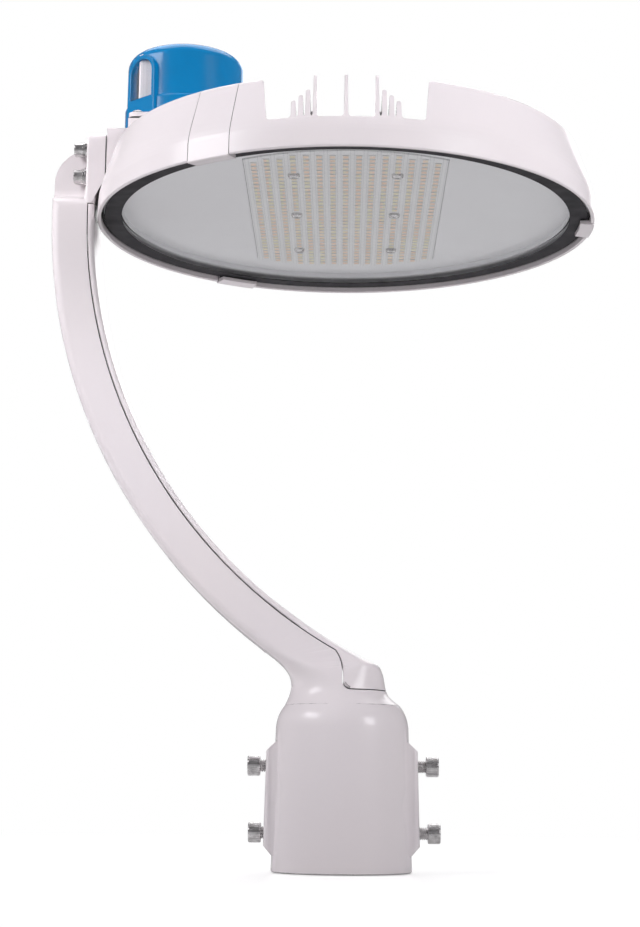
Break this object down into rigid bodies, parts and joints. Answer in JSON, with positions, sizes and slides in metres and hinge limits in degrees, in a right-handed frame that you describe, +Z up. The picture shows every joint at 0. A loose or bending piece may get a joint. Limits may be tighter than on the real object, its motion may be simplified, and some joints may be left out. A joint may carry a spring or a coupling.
{
  "type": "post top light",
  "caption": "Round LED area light on a curved arm with a pole-top collar, side clamp screws and a twist-lock photocell.",
  "frame": {"origin": "centre of the pole socket's mouth, at the collar's lower edge", "axes": "+Z up along the pole, -X towards the arm, +X towards the free side of the head"},
  "size_m": [0.3619, 0.3324, 0.5422],
  "materials": {
    "powder_coat": "gloss",
    "stainless": "satin",
    "washer_steel": "satin",
    "black_rubber": "matte",
    "grey_rubber": "matte",
    "cable_sheath": "matte",
    "connector": "matte",
    "clear_glass": "gloss",
    "print": "gloss",
    "board": "satin",
    "led": "gloss",
    "reflector": "satin",
    "driver_case": "satin",
    "terminal": "matte",
    "surge": "matte",
    "vent": "matte",
    "receptacle": "matte",
    "contact_brass": "satin",
    "photocell_blue": "gloss",
    "base_plastic": "matte",
    "window": "gloss",
    "circuit": "satin",
    "relay": "satin",
    "sensor": "gloss"
  },
  "bodies": {
    "light": {"arm_casting": "powder_coat", "arm_cover": "powder_coat", "flange_screws": "stainless", "flange_spring_washers": "washer_steel", "flange_flat_washers": "stainless", "flange_gasket": "black_rubber", "cable_grommet": "black_rubber", "supply_cable": "cable_sheath", "supply_connector": "connector", "head_housing": "powder_coat", "glass": "clear_glass", "glass_border": "print", "glass_gasket": "grey_rubber", "lens_clip_1": "powder_coat", "lens_clip_2": "powder_coat", "lens_clip_3": "powder_coat", "clip_pads": "black_rubber", "clip_screws": "stainless", "led_board": "board", "leds": "led", "board_screws": "stainless", "reflector_plate": "reflector", "led_driver": "driver_case", "terminal_block": "terminal", "surge_protector": "surge", "driver_lid": "powder_coat", "lid_gasket": "black_rubber", "lid_screws": "stainless", "vent_plug": "vent", "receptacle_gasket": "grey_rubber"},
    "clamp_screw_1": {"clamp_screw_1": "stainless"},
    "clamp_screw_2": {"clamp_screw_2": "stainless"},
    "clamp_screw_3": {"clamp_screw_3": "stainless"},
    "clamp_screw_4": {"clamp_screw_4": "stainless"},
    "receptacle": {"receptacle": "receptacle", "receptacle_contacts": "contact_brass", "receptacle_ring": "base_plastic"},
    "photocell": {"photocell_base": "base_plastic", "photocell_blades": "contact_brass", "photocell_cover": "photocell_blue", "photocell_window": "window", "photocell_board": "circuit", "photocell_sensor": "sensor", "photocell_relay": "relay"}
  },
  "joints": [
    {"name": "clamp_1_drive", "type": "slide", "parent": "light", "child": "clamp_screw_1", "axis": [-1, 0, 0], "range_m": [-0.003, 0.0052]},
    {"name": "clamp_2_drive", "type": "slide", "parent": "light", "child": "clamp_screw_2", "axis": [-1, 0, 0], "range_m": [-0.003, 0.0052]},
    {"name": "clamp_3_drive", "type": "slide", "parent": "light", "child": "clamp_screw_3", "axis": [1, 0, 0], "range_m": [-0.003, 0.0037]},
    {"name": "clamp_4_drive", "type": "slide", "parent": "light", "child": "clamp_screw_4", "axis": [1, 0, 0], "range_m": [-0.003, 0.0017]},
    {"name": "receptacle_turn", "type": "hinge", "parent": "light", "child": "receptacle", "pos_m": [-0.1094, 0, 0.4855], "axis": [0, 0, 1], "range_deg": [-175, 175]},
    {"name": "photocell_twist", "type": "hinge", "parent": "receptacle", "child": "photocell", "pos_m": [-0.1094, 0, 0.489], "axis": [0, 0, 1], "range_deg": [0, 35]}
  ]
}
